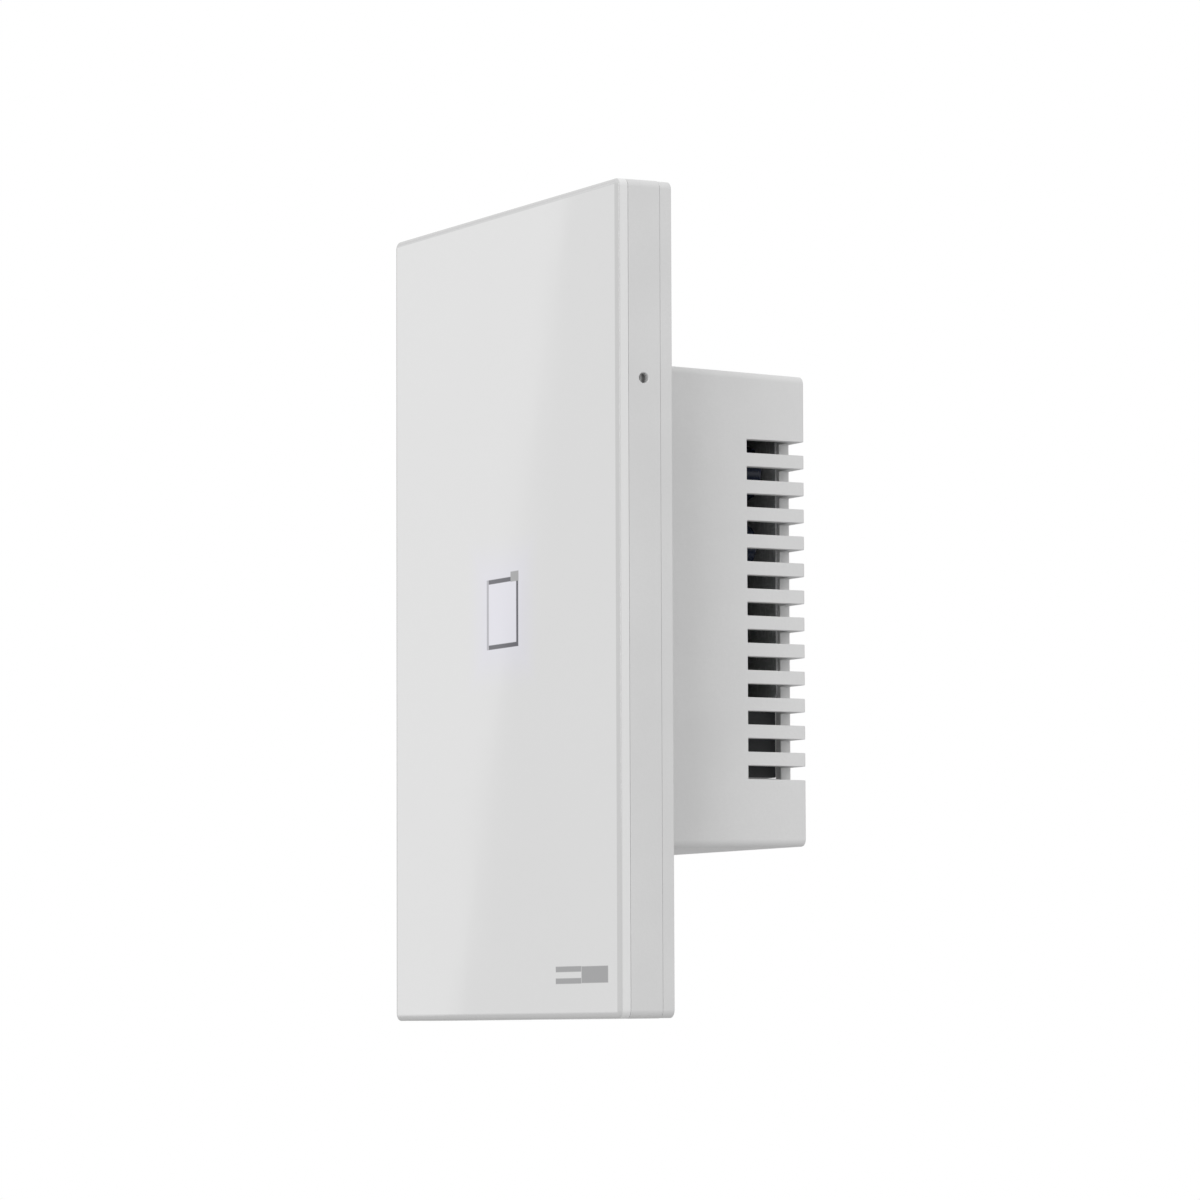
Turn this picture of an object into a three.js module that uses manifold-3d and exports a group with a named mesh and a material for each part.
// A one-gang touch wall switch: a glass front panel that snaps onto a mounting plate, and a vented
// housing behind it that goes into the wall box and holds the relay, the supply and the terminals.
// Millimetres. +X right and +Z up as seen from the front, +Y into the wall.
// The origin is the panel's centre in the plane of the wall.
import * as THREE from 'three';
import { mergeVertices } from 'three/addons/utils/BufferGeometryUtils.js';
import Module from 'manifold-3d';

const wasm = await Module();
wasm.setup();

// ---- driving dimensions -------------------------------------------------------------------------
const PANEL = { width: 74, height: 120, thickness: 8.8, cornerRadius: 1.2 };
const GLASS = { thickness: 1.7, roundedWidth: 0.9, roundedDepth: 0.5 }; // its front edge is rounded
const TAPE = { thickness: 0.25, inset: 2 };
const FRAME = { wall: 1.6, ledge: 1.25 };
const WINDOW = { width: 60, height: 106 }; // the frame's opening behind the glass
const PLATE = { thickness: 1.9, inset: 0.05, ringWall: 1.4, ringHeight: 3.3, ringGap: 0.3 };
const HOUSING = {
  width: 47, height: 70.8, depth: 29.7, taper: 0.65, wall: 1.7, cornerRadius: 1.1, innerRadius: 0.6,
};
const VENT = { count: 13, pitch: 4, height: 2, sideLength: 9.8, rearLength: 4.6 };
const WALL_SCREW_SPACING = 83.3; // the standard spacing of a single-gang wall box
const WALL_SLOT = { length: 8, width: 4.4 };
const LATCH = { height: 31.3, width: 7, thickness: 1.2, hook: 0.6 };
const RELEASE_HOLE_RADIUS = 0.75;
const POLE_PITCH = 11; // between the three wire terminals
const FIT = 0.05; // gap left between pieces that rest on each other
const CORNER_SEGMENTS = 2; // a quarter round takes twice as many flats

// ---- places along Y, from the front of the glass to the back of the housing ---------------------
const FRONT = -PANEL.thickness;
const GLASS_BACK = FRONT + GLASS.thickness;
const FRAME_FRONT = GLASS_BACK + FIT;
const LEDGE_BACK = FRAME_FRONT + FRAME.ledge;
const FRAME_BACK = -PLATE.thickness - FIT;
const PLATE_FRONT = -PLATE.thickness;
const TOUCH_BOARD = { back: -2.9, front: -3.9, width: 41, height: 57 };
const POWER_BOARD = { front: 8, back: 9.6, width: 42.4, height: 66.4, notch: 6.4 };
const ON_POWER = POWER_BOARD.back + FIT;
const ON_TOUCH = TOUCH_BOARD.front - FIT;

// ---- materials ----------------------------------------------------------------------------------
const material = (color, roughness, metalness = 0) =>
  new THREE.MeshStandardMaterial({ color, roughness, metalness });
const MATERIAL = {
  glass: material(0xe4e4e4, 0.12),
  shell: material(0xdedede, 0.45),
  housing: material(0xd2d2d2, 0.55),
  tape: material(0x2a2a2a, 0.8),
  board: material(0x1d3a2a, 0.5),
  steel: material(0xb9bcc0, 0.3, 1),
  brass: material(0xc9a24e, 0.3, 1),
  copper: material(0xb5683a, 0.4, 1),
  blackPlastic: material(0x1b1b1c, 0.5),
  greyPlastic: material(0x55585c, 0.55),
  diffuser: material(0xf2f0ff, 0.3),
  led: material(0xf5efc8, 0.3),
  sleeve: material(0x1a2436, 0.35),
  varistor: material(0x2d6aa8, 0.4),
  ferrite: material(0x3a3a3c, 0.6),
  tapeYellow: material(0xd9b93a, 0.5),
  fibre: material(0x6d6e70, 0.7),
};

// ---- from surfaces to solids and back -----------------------------------------------------------
function solidOf(geometry) {
  const bare = geometry.clone();
  for (const name of ['normal', 'uv']) bare.deleteAttribute(name);
  const merged = mergeVertices(bare, 1e-4);
  return new wasm.Manifold(new wasm.Mesh({
    numProp: 3,
    vertProperties: new Float32Array(merged.attributes.position.array),
    triVerts: new Uint32Array(merged.index.array),
  }));
}

function geometryOf(solid) {
  const mesh = solid.getMesh();
  const geometry = new THREE.BufferGeometry();
  geometry.setAttribute('position', new THREE.BufferAttribute(mesh.vertProperties, 3));
  geometry.setIndex(new THREE.BufferAttribute(mesh.triVerts, 1));
  geometry.computeVertexNormals();
  return geometry;
}

const joined = (...solids) => solids.reduce((a, b) => a.add(b));
const cut = (solid, ...tools) => tools.reduce((a, b) => a.subtract(b), solid);

// A box given by its lowest and highest places along X, Y and Z.
function block([x0, x1], [y0, y1], [z0, z1]) {
  const box = new THREE.BoxGeometry(x1 - x0, y1 - y0, z1 - z0);
  return solidOf(box.translate((x0 + x1) / 2, (y0 + y1) / 2, (z0 + z1) / 2));
}

// A cylinder along Y from y0 to y1, centred on x and z.
function rod(x, z, [y0, y1], radius, sides = 16, tipRadius = radius) {
  const cylinder = new THREE.CylinderGeometry(tipRadius, radius, y1 - y0, sides);
  return solidOf(cylinder.translate(x, (y0 + y1) / 2, z));
}

function roundedRectangle(width, height, radius) {
  const shape = new THREE.Shape();
  const x = width / 2 - radius;
  const y = height / 2 - radius;
  shape.absarc(x, y, radius, 0, Math.PI / 2);
  shape.absarc(-x, y, radius, Math.PI / 2, Math.PI);
  shape.absarc(-x, -y, radius, Math.PI, 1.5 * Math.PI);
  shape.absarc(x, -y, radius, 1.5 * Math.PI, 2 * Math.PI);
  shape.closePath();
  return shape;
}

// A plate with rounded corners, seen from the front, from y0 to y1.
function slab(width, height, radius, [y0, y1], x = 0, z = 0) {
  const shape = roundedRectangle(width, height, radius);
  const plate = new THREE.ExtrudeGeometry(shape, {
    depth: y1 - y0, bevelEnabled: false, curveSegments: CORNER_SEGMENTS,
  });
  return solidOf(plate.rotateX(Math.PI / 2).translate(x, y1, z));
}

// The same plate with its front edge rounded, over a width across the front and a depth.
function softSlab(width, height, radius, roundedWidth, roundedDepth, [y0, y1]) {
  const shape = roundedRectangle(width - 2 * roundedWidth, height - 2 * roundedWidth,
    Math.max(radius - roundedWidth, 0.3));
  const plate = new THREE.ExtrudeGeometry(shape, {
    depth: y1 - y0, bevelThickness: roundedDepth, bevelSize: roundedWidth, bevelSegments: 3,
    curveSegments: CORNER_SEGMENTS,
  });
  const whole = solidOf(plate.rotateX(Math.PI / 2).translate(0, y1 + roundedDepth, 0));
  const behind = block([-width, width], [y1, y1 + 3 * roundedDepth], [-height, height]);
  return whole.subtract(behind);
}

// A rounded plate whose sides draw in by taper from y = 0 to y = depth.
function draftedSlab(width, height, radius, [y0, y1], taper, depth) {
  const shape = roundedRectangle(width, height, radius);
  const plate = new THREE.ExtrudeGeometry(shape, {
    depth: y1 - y0, bevelEnabled: false, curveSegments: CORNER_SEGMENTS,
  });
  plate.rotateX(Math.PI / 2).translate(0, y1, 0);
  const at = plate.attributes.position;
  for (let i = 0; i < at.count; i++) {
    const drawn = taper * at.getY(i) / depth;
    at.setX(i, at.getX(i) * (1 - 2 * drawn / width));
    at.setZ(i, at.getZ(i) * (1 - 2 * drawn / height));
  }
  return solidOf(plate);
}

// ---- the assembly -------------------------------------------------------------------------------
const model = new THREE.Group();

function piece(name, solid, look) {
  const mesh = new THREE.Mesh(geometryOf(solid), look);
  mesh.name = name;
  model.add(mesh);
}

const sides = [['left', -1], ['right', 1]];
const ends = [['lower', -1], ['upper', 1]];
const corners = ends.flatMap(([end, z]) => sides.map(([side, x]) => [`${end}_${side}`, x, z]));

// ---- front panel: frame, glass and the tape between them ----------------------------------------
const innerWidth = PANEL.width - 2 * FRAME.wall;
const innerHeight = PANEL.height - 2 * FRAME.wall;

function panelFrame() {
  const { width, height, cornerRadius } = PANEL;
  const outer = slab(width, height, cornerRadius, [FRAME_FRONT, FRAME_BACK]);
  const tapeSeat = slab(width - 2 * TAPE.inset + 0.2, height - 2 * TAPE.inset + 0.2, 1.2,
    [FRONT, FRAME_FRONT + TAPE.thickness]);
  const window = slab(WINDOW.width, WINDOW.height, 3, [FRONT, 0]);
  const inside = slab(innerWidth, innerHeight, 1.2, [LEDGE_BACK, 0]);
  const pryNotch = block([-4, 4], [FRAME_BACK - 1.4, 0], [-height, -innerHeight / 2 + 1]);
  const pockets = corners.map(([, x, z]) => latchPocket(x, z * LATCH.height));
  const releaseHoles = sides.map(([, x]) => releaseHole(x));
  return cut(outer, tapeSeat, window, inside, pryNotch, ...pockets, ...releaseHoles);
}

function frontGlass() {
  const { width, height, cornerRadius } = PANEL;
  return softSlab(width, height, cornerRadius, GLASS.roundedWidth, GLASS.roundedDepth,
    [FRONT, GLASS_BACK]);
}

function latchPocket(side, z) {
  const inner = innerWidth / 2;
  const xs = [side * (inner - 1), side * (inner + LATCH.hook)].sort((a, b) => a - b);
  return block(xs, [LEDGE_BACK + 0.1, -3.7], [z - 4, z + 4]);
}

// The hole above each upper latch, which takes a pin that frees the panel.
function releaseHole(side) {
  const cylinder = new THREE.CylinderGeometry(RELEASE_HOLE_RADIUS, RELEASE_HOLE_RADIUS, 4, 16);
  cylinder.rotateZ(Math.PI / 2).translate(side * PANEL.width / 2, -4.6, LATCH.height);
  return solidOf(cylinder);
}

function glassTape() {
  const between = [GLASS_BACK + 0.02, FRAME_FRONT + TAPE.thickness - 0.02];
  const outer = slab(PANEL.width - 2 * TAPE.inset, PANEL.height - 2 * TAPE.inset, 1, between);
  return cut(outer, slab(WINDOW.width + 1, WINDOW.height + 1, 3, [FRONT, 0]));
}

piece('panel_frame', panelFrame(), MATERIAL.shell);
piece('front_glass', frontGlass(), MATERIAL.glass);
piece('glass_tape', glassTape(), MATERIAL.tape);

// ---- mounting plate with its latches ------------------------------------------------------------
const HOUSING_SCREW = { x: 19, z: 30.9, radius: 1.45, length: 8, headRadius: 2.7 };
const BOARD_SCREW = { x: 17.5, z: 25.5, radius: 0.95, headRadius: 1.7 };
const POCKETS = { from: 1.5, to: 56, count: 4, web: 1.2, depth: 0.9 };
const LINK = { z: -9, width: 21, depth: 2.6 }; // the plug and socket that join the two boards
const ringOuter = { width: innerWidth - 2 * PLATE.ringGap, height: innerHeight - 2 * PLATE.ringGap };

function wallSlot(z, [y0, y1], grow = 0) {
  const width = WALL_SLOT.width + 2 * grow;
  const length = WALL_SLOT.length + 2 * grow;
  return slab(length, width, width / 2 - 0.01, [y0, y1], 0, z);
}

function mountingPlate() {
  const plate = slab(PANEL.width - 2 * PLATE.inset, PANEL.height - 2 * PLATE.inset,
    PANEL.cornerRadius - PLATE.inset, [PLATE_FRONT, 0]);
  const ring = cut(
    slab(ringOuter.width, ringOuter.height, 1, [PLATE_FRONT - PLATE.ringHeight, PLATE_FRONT + 0.5]),
    slab(ringOuter.width - 2 * PLATE.ringWall, ringOuter.height - 2 * PLATE.ringWall, 0.6,
      [PLATE_FRONT - PLATE.ringHeight - 1, 0]),
    ...corners.map(([, x, z]) => latchGap(x, z * LATCH.height)),
    block([-5, 5], [-9, PLATE_FRONT], [-ringOuter.height, 3 - ringOuter.height / 2]),
  );
  const boardPosts = corners.map(([, x, z]) => rod(x * BOARD_SCREW.x, z * BOARD_SCREW.z,
    [TOUCH_BOARD.back + FIT, PLATE_FRONT + 0.2], 2.1));
  const powerPosts = sides.map(([, x]) => rod(x * 17, 4, [-0.5, POWER_BOARD.front - FIT], 1.8));
  const ribs = sides.map(([, x]) => locatingRib(x));
  const holes = corners.flatMap(([, x, z]) => [
    rod(x * HOUSING_SCREW.x, z * HOUSING_SCREW.z, [-9, 1], 1.7),
    rod(x * HOUSING_SCREW.x, z * HOUSING_SCREW.z, [-9, PLATE_FRONT + 1], 3),
    rod(x * BOARD_SCREW.x, z * BOARD_SCREW.z, [-9, -0.4], BOARD_SCREW.radius + FIT, 16),
  ]);
  const slots = [-1, 1].flatMap((z) => [
    wallSlot(z * WALL_SCREW_SPACING / 2, [-9, 1]),
    wallSlot(z * WALL_SCREW_SPACING / 2, [-9, PLATE_FRONT + 0.6], 2.4),
  ]);
  const linkHole = block([-LINK.width / 2 - 1, LINK.width / 2 + 1], [-9, 9],
    [LINK.z - LINK.depth / 2 - 0.8, LINK.z + LINK.depth / 2 + 0.8]);
  const backPockets = corners.flatMap(([, x, z]) => backPocketsOf(x, z));
  return cut(joined(plate, ring, ...boardPosts, ...powerPosts, ...ribs),
    ...holes, ...slots, linkHole, ...backPockets);
}

function latchGap(side, z) {
  const outer = ringOuter.width / 2;
  const xs = [side * (outer - 3), side * (outer + 1)].sort((a, b) => a - b);
  return block(xs, [-9, PLATE_FRONT], [z - LATCH.width / 2 - 0.7, z + LATCH.width / 2 + 0.7]);
}

// A rib behind the plate that finds the housing's mouth.
function locatingRib(side) {
  const outer = HOUSING.width / 2 - HOUSING.wall - 0.3;
  const xs = [side * (outer - 1.2), side * outer].sort((a, b) => a - b);
  return block(xs, [-0.5, 3], [-24, 24]);
}

// Shallow hollows that keep the plate's wall even, between its edge and the housing. Thin webs part
// the hollows from each other.
function backPocketsOf(side, end) {
  const { from, to, count, web, depth } = POCKETS;
  const length = (to - from - (count - 1) * web) / count;
  const xs = [side * 25.5, side * 34].sort((a, b) => a - b);
  return Array.from({ length: count }, (_, i) => {
    const start = from + i * (length + web);
    const zs = [end * start, end * (start + length)].sort((a, b) => a - b);
    return block(xs, [-depth, 1], zs);
  });
}

// A springy tongue with a hook at its tip, which bends as the panel comes off.
function latchTongue(side, z) {
  const outer = ringOuter.width / 2;
  const across = (a, b) => [side * a, side * b].sort((p, q) => p - q);
  const width = [z - LATCH.width / 2, z + LATCH.width / 2];
  const tongue = block(across(outer - LATCH.thickness, outer), [-5.25, PLATE_FRONT - FIT], width);
  const hook = block(across(outer - 0.5, outer + LATCH.hook), [-5, -4.2], width);
  return joined(tongue, hook);
}

piece('mounting_plate', mountingPlate(), MATERIAL.shell);
for (const [place, x, z] of corners)
  piece(`latch_tongue_${place}`, latchTongue(x, z * LATCH.height), MATERIAL.shell);

// ---- rear housing -------------------------------------------------------------------------------
const REAR_WALL = HOUSING.depth - HOUSING.wall; // inner face of the rear wall
const TERMINAL = { x: 16.5, bottom: -24.4, top: -13.4, back: 28.2, screwZ: -19.6 };
const TROUGH = { x: 16.7, floor: 12, bottom: -32.9, wall: 1.2 };
const INSULATION = { x: 17.8, bottom: -12.8, top: 32, thickness: 0.4 };

function rearHousing() {
  const { width, height, wall, cornerRadius, innerRadius, taper, depth } = HOUSING;
  const outer = draftedSlab(width, height, cornerRadius, [FIT, depth], taper, depth);
  const cavity = draftedSlab(width - 2 * wall, height - 2 * wall, innerRadius,
    [-1, REAR_WALL], taper, depth);
  const bosses = corners.map(([, x, z]) => screwBoss(x, z).intersect(outer));
  const troughOuter = block([-TROUGH.x - TROUGH.wall, TROUGH.x + TROUGH.wall],
    [TROUGH.floor - TROUGH.wall, REAR_WALL + 1], [-34, TERMINAL.bottom - 0.2]);
  const boardStops = corners.map(([, x, z]) => boardStop(x, z));
  const shell = joined(cut(outer, cavity), ...bosses, troughOuter, ...boardStops);
  const trough = block([-TROUGH.x, TROUGH.x], [TROUGH.floor, 40], [TROUGH.bottom, -24]);
  const window = block([-TROUGH.x, TROUGH.x], [REAR_WALL - 1, 40],
    [TERMINAL.bottom - 0.2, TERMINAL.top + 0.2]);
  const labelSeat = slab(26, 20, 1, [depth - 0.3, 40], 0, 8);
  return cut(shell, trough, window, labelSeat, ...vents());
}

// Each vent slot runs back along a side wall, round the rear corner and a little way in.
function vents() {
  const slots = [];
  for (const [, side] of sides)
    for (let i = 0; i < VENT.count; i++) {
      const z = (i - (VENT.count - 1) / 2) * VENT.pitch;
      const zs = [z - VENT.height / 2, z + VENT.height / 2];
      const outer = HOUSING.width / 2 - HOUSING.taper;
      const across = (a, b) => [side * a, side * b].sort((p, q) => p - q);
      slots.push(
        block(across(outer - HOUSING.wall - 0.5, outer + 2),
          [HOUSING.depth - VENT.sideLength, HOUSING.depth + 1], zs),
        block(across(outer - VENT.rearLength, outer + 2),
          [REAR_WALL - 0.5, HOUSING.depth + 1], zs),
      );
    }
  return slots;
}

function screwBoss(side, end) {
  const xs = [side * (HOUSING_SCREW.x - 2.7), side * 24].sort((a, b) => a - b);
  const zs = [end * (HOUSING_SCREW.z - 2.7), end * 36].sort((a, b) => a - b);
  const hole = rod(side * HOUSING_SCREW.x, end * HOUSING_SCREW.z, [-1, 7.5],
    HOUSING_SCREW.radius + FIT, 16);
  return cut(block(xs, [FIT, POWER_BOARD.front - FIT], zs), hole);
}

// Ribs on the side walls that stop the power board.
function boardStop(side, end) {
  const xs = [side * 20.2, side * 22].sort((a, b) => a - b);
  const zs = [end * 26, end * 27.4].sort((a, b) => a - b);
  return block(xs, [ON_POWER, REAR_WALL + 0.5], zs);
}

// Grey fibre sheet stuck to the inside of the rear wall, behind the live parts.
function insulationSheet() {
  const { x, bottom, top, thickness } = INSULATION;
  return block([-x, x], [REAR_WALL - FIT - thickness, REAR_WALL - FIT], [bottom, top]);
}

piece('rear_housing', rearHousing(), MATERIAL.housing);
piece('insulation_sheet', insulationSheet(), MATERIAL.fibre);

// ---- wire terminals: rising cages pulled up by captive screws -----------------------------------
const POLES = [['line', -POLE_PITCH], ['neutral', 0], ['load', POLE_PITCH]];
const CAGE = { x: 3.6, z: 3.25, bottom: 11, top: 20.4, floor: 1.2, roof: 1.8, side: 1 };
const CONTACT = { front: 15.8, back: 16.6, x: 2.2 };
const SCREW = { radius: 1.7, tip: 16.8, headRadius: 3.1, headFront: 25.1, headBack: 27.3 };

function terminalBlock() {
  const body = block([-TERMINAL.x, TERMINAL.x], [ON_POWER, TERMINAL.back],
    [TERMINAL.bottom, TERMINAL.top]);
  const cuts = POLES.flatMap(([, x]) => [
    rod(x, TERMINAL.screwZ, [SCREW.headFront - 0.1, 40], SCREW.headRadius + 0.3),
    rod(x, TERMINAL.screwZ, [20, 40], SCREW.radius + 0.3),
    block([x - 3.9, x + 3.9], [9, 24], [-23.4, -15.9]),
    block([x - 2.5, x + 2.5], [12.2, 15.7], [-25, -23]),
    block([x - 2.4, x + 2.4], [9, 16.9], [-16.2, -14.7]),
  ]);
  return cut(body, ...cuts);
}

function contactPlate(x) {
  const bar = block([x - CONTACT.x, x + CONTACT.x], [CONTACT.front, CONTACT.back], [-23.2, -14.9]);
  const leg = block([x - CONTACT.x, x + CONTACT.x], [ON_POWER, CONTACT.back], [-15.7, -14.9]);
  const pin = block([x - 0.8, x + 0.8], [POWER_BOARD.front - 1, ON_POWER + 1], [-15.7, -14.9]);
  return joined(bar, leg, pin);
}

function terminalCage(x) {
  const z = TERMINAL.screwZ;
  const outer = block([x - CAGE.x, x + CAGE.x], [CAGE.bottom, CAGE.top], [z - CAGE.z, z + CAGE.z]);
  const wireWay = block([x - CAGE.x + CAGE.side, x + CAGE.x - CAGE.side],
    [CAGE.bottom + CAGE.floor, CAGE.top - CAGE.roof], [z - 9, z + 9]);
  return cut(outer, wireWay, rod(x, z, [CAGE.top - 3, 40], SCREW.radius + 0.1));
}

function terminalScrew(x) {
  const z = TERMINAL.screwZ;
  const { headFront, headBack, headRadius, radius, tip } = SCREW;
  const head = rod(x, z, [headFront, headBack], headRadius, 20);
  const shank = rod(x, z, [tip, headFront + 0.5], radius, 12);
  const slot = block([x - 3.4, x + 3.4], [headBack - 1, 40], [z - 0.45, z + 0.45]);
  const cross = block([x - 0.45, x + 0.45], [headBack - 1.2, 40], [z - 1.9, z + 1.9]);
  return cut(joined(head, shank), slot, cross);
}

piece('terminal_block', terminalBlock(), MATERIAL.greyPlastic);
for (const [pole, x] of POLES) {
  piece(`contact_plate_${pole}`, contactPlate(x), MATERIAL.brass);
  piece(`terminal_cage_${pole}`, terminalCage(x), MATERIAL.brass);
  piece(`terminal_screw_${pole}`, terminalScrew(x), MATERIAL.steel);
}

// ---- boards and the plug between them -----------------------------------------------------------
function powerBoard() {
  const { width, height, notch, front, back } = POWER_BOARD;
  const board = block([-width / 2, width / 2], [front, back], [-height / 2, height / 2]);
  const notches = corners.map(([, x, z]) => {
    const xs = [x * (width / 2 - notch), x * width].sort((a, b) => a - b);
    const zs = [z * (height / 2 - notch), z * height].sort((a, b) => a - b);
    return block(xs, [0, 20], zs);
  });
  const pinSlots = POLES.map(([, x]) => block([x - 1, x + 1], [0, 20], [-15.9, -14.7]));
  const header = block([-LINK.width / 2 + 0.2, LINK.width / 2 - 0.2], [0, 20],
    [LINK.z - 0.5, LINK.z + 0.5]);
  return cut(board, ...notches, ...pinSlots, header);
}

function touchBoard() {
  const { width, height, front, back } = TOUCH_BOARD;
  const board = slab(width, height, 2, [front, back]);
  const holes = corners.map(([, x, z]) => rod(x * BOARD_SCREW.x, z * BOARD_SCREW.z, [-9, 0], 1.15,
    16));
  return cut(board, ...holes);
}

const LINK_BACK = 5.4;

function linkSocket() {
  const half = LINK.width / 2;
  const body = block([-half, half], [TOUCH_BOARD.back + FIT, LINK_BACK],
    [LINK.z - LINK.depth / 2, LINK.z + LINK.depth / 2]);
  const pinSlot = block([-half + 0.6, half - 0.6], [0.5, 9], [LINK.z - 0.5, LINK.z + 0.5]);
  return cut(body, pinSlot);
}

// Eight square pins in one strip, through the power board and into the socket.
function linkHeader() {
  const half = LINK.width / 2;
  const strip = block([-half, half], [LINK_BACK + FIT, POWER_BOARD.front - FIT],
    [LINK.z - LINK.depth / 2, LINK.z + LINK.depth / 2]);
  const pins = [];
  for (let i = 0; i < 8; i++) {
    const x = (i - 3.5) * 2.54;
    pins.push(block([x - 0.32, x + 0.32], [1, POWER_BOARD.back], [LINK.z - 0.32, LINK.z + 0.32]));
  }
  return joined(strip, ...pins);
}

piece('power_board', powerBoard(), MATERIAL.board);
piece('touch_board', touchBoard(), MATERIAL.board);
piece('link_socket', linkSocket(), MATERIAL.blackPlastic);
piece('link_header', linkHeader(), MATERIAL.blackPlastic);

// ---- on the touch board: sensing spring, light guide, lamps and the radio -----------------------
const GUIDE = { outer: 11, inner: 8.6, front: GLASS_BACK + 0.15, back: -5 };

function lightGuide() {
  const ring = cut(slab(GUIDE.outer, GUIDE.outer, 1.2, [GUIDE.front, GUIDE.back]),
    slab(GUIDE.inner, GUIDE.inner, 0.5, [FRONT, 0]));
  const middle = (GUIDE.outer + GUIDE.inner) / 4;
  const feet = corners.map(([, x, z]) => rod(x * middle, z * middle,
    [GUIDE.back - 0.5, ON_TOUCH], 0.5, 12));
  return joined(ring, ...feet);
}

class Helix extends THREE.Curve {
  constructor(radius, start, rise, turns) {
    super();
    Object.assign(this, { radius, start, rise, turns });
  }

  getPoint(t, target = new THREE.Vector3()) {
    const angle = 2 * Math.PI * this.turns * t;
    return target.set(this.radius * Math.cos(angle), this.start + this.rise * t,
      this.radius * Math.sin(angle));
  }
}

// The coil that carries the touch signal from the board to the back of the glass.
function touchSpring() {
  const wire = 0.3;
  const turns = 3.5;
  const start = ON_TOUCH - wire - 0.05;
  const end = GLASS_BACK + wire + 0.1;
  const section = new THREE.Shape();
  section.absarc(0, 0, wire, 0, 2 * Math.PI);
  const coil = new THREE.ExtrudeGeometry(section, {
    steps: 42, curveSegments: 3, bevelEnabled: false,
    extrudePath: new Helix(3.4, start, end - start, turns),
  });
  return solidOf(coil);
}

piece('icon_light_guide', lightGuide(), MATERIAL.diffuser);
piece('touch_spring', touchSpring(), MATERIAL.steel);
for (const [side, x] of sides)
  piece(`icon_led_${side}`, block([x * 4.9 - 0.8, x * 4.9 + 0.8], [-4.9, ON_TOUCH], [-1.6, 1.6]),
    MATERIAL.led);
piece('radio_board', slab(16, 20, 0.8, [ON_TOUCH - 0.8, ON_TOUCH], 0, 17.5), MATERIAL.blackPlastic);
piece('radio_shield', slab(12.6, 11, 0.8, [ON_TOUCH - 2.4, ON_TOUCH - 0.8 - FIT], 0, 14.4),
  MATERIAL.steel);
piece('touch_chip', block([-3.2, 3.2], [ON_TOUCH - 1.5, ON_TOUCH], [-22, -18]),
  MATERIAL.blackPlastic);

// ---- on the power board: relay ------------------------------------------------------------------
const RELAY = { x: -15.1, z: -2.2, width: 10.4, length: 18.6, top: 25.2, wall: 0.6 };
const ARMATURE = { front: 22, back: 23, pivotZ: 0.2 };
const COIL = { z: -5.4, bottom: 13, top: 21.2, flange: 0.8, radius: 3.6 };

function relayCover() {
  const { x, z, width, length, top, wall } = RELAY;
  return cut(slab(width, length, 0.8, [ON_POWER, top], x, z),
    slab(width - 2 * wall, length - 2 * wall, 0.4, [0, top - 0.8], x, z));
}

function relayBase() {
  const width = RELAY.width - 2 * RELAY.wall - 0.2;
  const length = RELAY.length - 2 * RELAY.wall - 0.2;
  return slab(width, length, 0.4, [ON_POWER, 11.8], RELAY.x, RELAY.z);
}

function relayYoke() {
  const { x } = RELAY;
  const strip = block([x - 3, x + 3], [11.9, 12.9], [-9.5, 1.2]);
  const leg = block([x - 3, x + 3], [12.5, ARMATURE.front - FIT], [ARMATURE.pivotZ, 1.2]);
  return joined(strip, leg, rod(x, COIL.z, [12.5, ARMATURE.front - 0.5], 1.4));
}

function relayBobbin() {
  const { x } = RELAY;
  const flange = (y) => block([x - 4, x + 4], [y, y + COIL.flange], [COIL.z - 4, COIL.z + 4]);
  const barrel = rod(x, COIL.z, [COIL.bottom, COIL.top], 2);
  return cut(joined(flange(COIL.bottom), flange(COIL.top - COIL.flange), barrel),
    rod(x, COIL.z, [0, 40], 1.5));
}

function relayCoil() {
  const span = [COIL.bottom + COIL.flange + FIT, COIL.top - COIL.flange - FIT];
  return cut(rod(RELAY.x, COIL.z, span, COIL.radius), rod(RELAY.x, COIL.z, [0, 40], 2.05));
}

// The armature rocks on the top edge of the yoke's leg and is pulled down to the core.
function relayArmature() {
  const { x } = RELAY;
  const plate = block([x - 3.2, x + 3.2], [ARMATURE.front, ARMATURE.back], [-9.3, 2.3]);
  const leg = block([x - 3.2, x + 3.2], [16, ARMATURE.front + 0.5], [1.5, 2.3]);
  return joined(plate, leg);
}

function relayContactSpring() {
  const { x } = RELAY;
  const blade = block([x - 2, x + 2], [13, 21], [2.35, 2.65]);
  const button = new THREE.CylinderGeometry(1.2, 1.2, 1, 16).rotateX(Math.PI / 2);
  return joined(blade, solidOf(button.translate(x, 14.4, 3)));
}

function relayFixedContact() {
  const { x } = RELAY;
  const button = new THREE.CylinderGeometry(1.2, 1.2, 0.8, 16).rotateX(Math.PI / 2);
  return joined(block([x - 1.8, x + 1.8], [11.85, 17], [4.6, 5.2]),
    solidOf(button.translate(x, 14.4, 4.4)));
}

piece('relay_cover', relayCover(), MATERIAL.blackPlastic);
piece('relay_base', relayBase(), MATERIAL.blackPlastic);
piece('relay_yoke', relayYoke(), MATERIAL.steel);
piece('relay_bobbin', relayBobbin(), MATERIAL.greyPlastic);
piece('relay_coil', relayCoil(), MATERIAL.copper);
piece('relay_armature', relayArmature(), MATERIAL.steel);
piece('relay_contact_spring', relayContactSpring(), MATERIAL.brass);
piece('relay_fixed_contact', relayFixedContact(), MATERIAL.brass);

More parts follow.
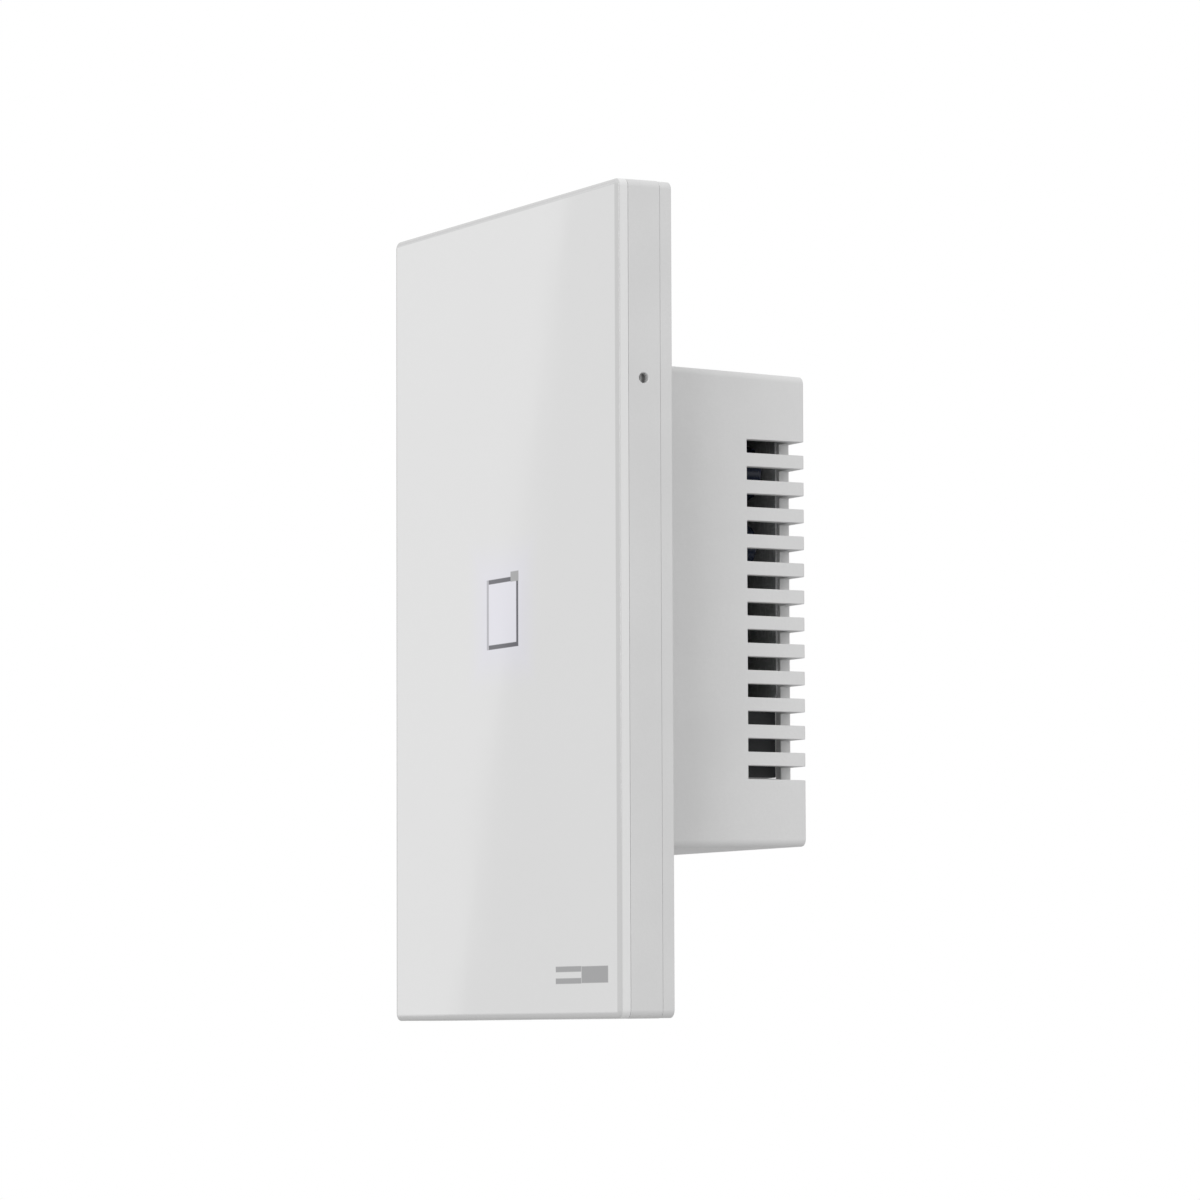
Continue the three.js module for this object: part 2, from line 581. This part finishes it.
// ---- on the power board: supply -----------------------------------------------------------------
function transformerCore() {
  const outer = block([-19.6, -6.4], [ON_POWER + 1.5, ON_POWER + 13.5], [13.4, 20.6]);
  const windows = [[-17.6, -14.8], [-11.2, -8.4]].map((xs) => block(xs,
    [ON_POWER + 3.6, ON_POWER + 11.4], [0, 40]));
  return cut(outer, ...windows);
}

function transformerWinding() {
  const wound = block([-17.4, -8.6], [ON_POWER + 3.8, ON_POWER + 11.2], [11, 23]);
  return cut(wound, block([-14.9, -11.1], [0, 40], [13.2, 20.8]));
}

function capacitor(x, z, radius, height) {
  const can = rod(x, z, [ON_POWER, ON_POWER + height], radius, 20);
  const groove = cut(rod(x, z, [ON_POWER + 1.2, ON_POWER + 1.8], radius + 1, 20),
    rod(x, z, [ON_POWER, ON_POWER + 3], radius - 0.3, 20));
  return cut(can, groove);
}

function varistor() {
  const disc = new THREE.CylinderGeometry(3.7, 3.7, 3, 20).rotateX(Math.PI / 2);
  return solidOf(disc.translate(-4, ON_POWER + 4.2, 3));
}

function fuse() {
  const tube = new THREE.CylinderGeometry(1.6, 1.6, 9, 16).rotateX(Math.PI / 2);
  return solidOf(tube.translate(4, ON_POWER + 1.8, 4));
}

piece('transformer_core', transformerCore(), MATERIAL.ferrite);
piece('transformer_winding', transformerWinding(), MATERIAL.tapeYellow);
piece('bulk_capacitor_1', capacitor(13.4, 21, 4, 16), MATERIAL.sleeve);
piece('bulk_capacitor_2', capacitor(3, 22, 4, 16), MATERIAL.sleeve);
piece('output_capacitor', capacitor(14.5, 10, 3.15, 15), MATERIAL.sleeve);
piece('varistor', varistor(), MATERIAL.varistor);
piece('fuse', fuse(), MATERIAL.greyPlastic);
piece('bridge_rectifier', block([8.6, 15.2], [ON_POWER, ON_POWER + 2.6], [-6, -1]),
  MATERIAL.blackPlastic);
piece('driver_chip', block([0.5, 5.5], [ON_POWER, ON_POWER + 1.6], [-9, -5]),
  MATERIAL.blackPlastic);

// ---- screws -------------------------------------------------------------------------------------
// A pan-head screw along Y whose head faces the front, with a cross recess.
function panScrew(x, z, headSeat, { headRadius, radius, length, headHeight, recess }) {
  const head = rod(x, z, [headSeat - headHeight, headSeat], headRadius * 0.75, 16, headRadius);
  const shank = rod(x, z, [headSeat - 0.2, headSeat + length], radius, 10, radius * 0.7);
  const crossArm = (halfX, halfZ) => block([x - halfX, x + halfX],
    [headSeat - 9, headSeat - headHeight + 0.7], [z - halfZ, z + halfZ]);
  return cut(joined(head, shank), crossArm(recess, 0.3), crossArm(0.3, recess));
}

const housingScrew = { headRadius: 2.7, radius: 1.45, length: 8, headHeight: 1.6, recess: 1.4 };
const boardScrew = { headRadius: 1.7, radius: 0.95, length: 2.6, headHeight: 1.1, recess: 0.9 };
for (const [place, x, z] of corners) {
  piece(`housing_screw_${place}`, panScrew(x * HOUSING_SCREW.x, z * HOUSING_SCREW.z,
    PLATE_FRONT + 1 - FIT, housingScrew), MATERIAL.steel);
  piece(`board_screw_${place}`, panScrew(x * BOARD_SCREW.x, z * BOARD_SCREW.z,
    TOUCH_BOARD.front - FIT, boardScrew), MATERIAL.steel);
}

export default model;
